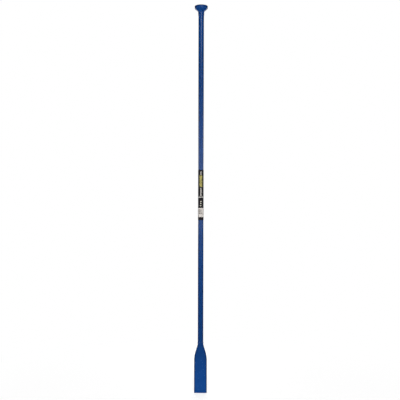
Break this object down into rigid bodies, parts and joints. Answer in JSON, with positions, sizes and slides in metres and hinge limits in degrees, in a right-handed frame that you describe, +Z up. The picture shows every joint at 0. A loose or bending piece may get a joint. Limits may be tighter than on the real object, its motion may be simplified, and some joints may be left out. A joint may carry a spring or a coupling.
{
  "type": "digging bar",
  "caption": "Long straight steel digging bar with a flat flared chisel blade at its foot and a round tamper head on top, blue enamelled, with a dark wrap label at mid height.",
  "frame": {"origin": "middle of the cutting edge, at the foot of the upright bar", "axes": "+Z up along the bar towards the tamper head, +X along the cutting edge, -Y out of the blade's front face, the side with the paper sticker"},
  "size_m": [0.061, 0.061, 1.8],
  "materials": {
    "blue_enamel": "satin",
    "label_film": "satin",
    "sticker_paper": "matte"
  },
  "bodies": {
    "root": {"shaft": "blue_enamel", "chisel_blade": "blue_enamel", "tamper_head": "blue_enamel", "blade_weld": "blue_enamel", "head_weld": "blue_enamel", "wrap_label": "label_film", "data_sticker": "sticker_paper"}
  },
  "joints": []
}
